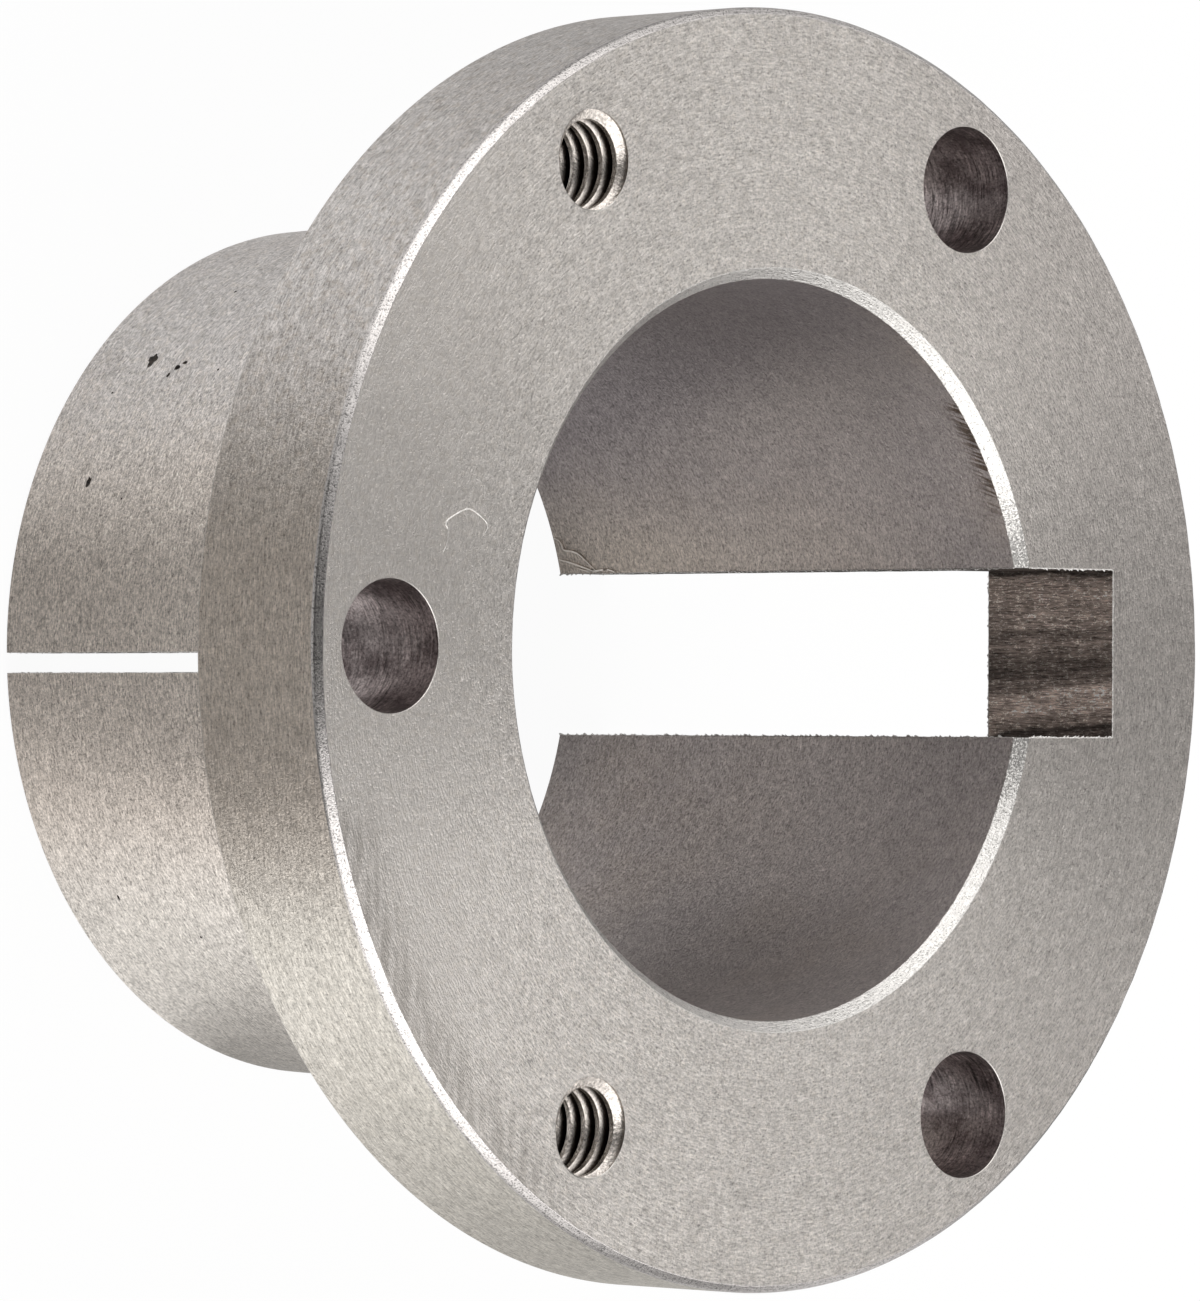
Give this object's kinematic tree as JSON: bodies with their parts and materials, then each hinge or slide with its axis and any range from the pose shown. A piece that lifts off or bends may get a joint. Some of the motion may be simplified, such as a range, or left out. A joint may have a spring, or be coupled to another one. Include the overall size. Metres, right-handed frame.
{
  "type": "split taper bushing",
  "caption": "Flanged steel sleeve with a tapered, slit barrel and a through keyway, which clamps a keyed shaft in a taper-bored hub.",
  "frame": {"origin": "on the bore's axis in the plane of the barrel's small end, on which the bushing stands", "axes": "+Z along the bore's axis and out of the flange's front face; +X from the axis through the middle of the keyway; the slit is on the -X side"},
  "size_m": [0.0934, 0.0934, 0.0488],
  "materials": {
    "steel": "fine turned, dry and unplated, with bright chamfers and a broached keyway"
  },
  "bodies": {
    "root": {"bushing": "steel"}
  },
  "joints": []
}
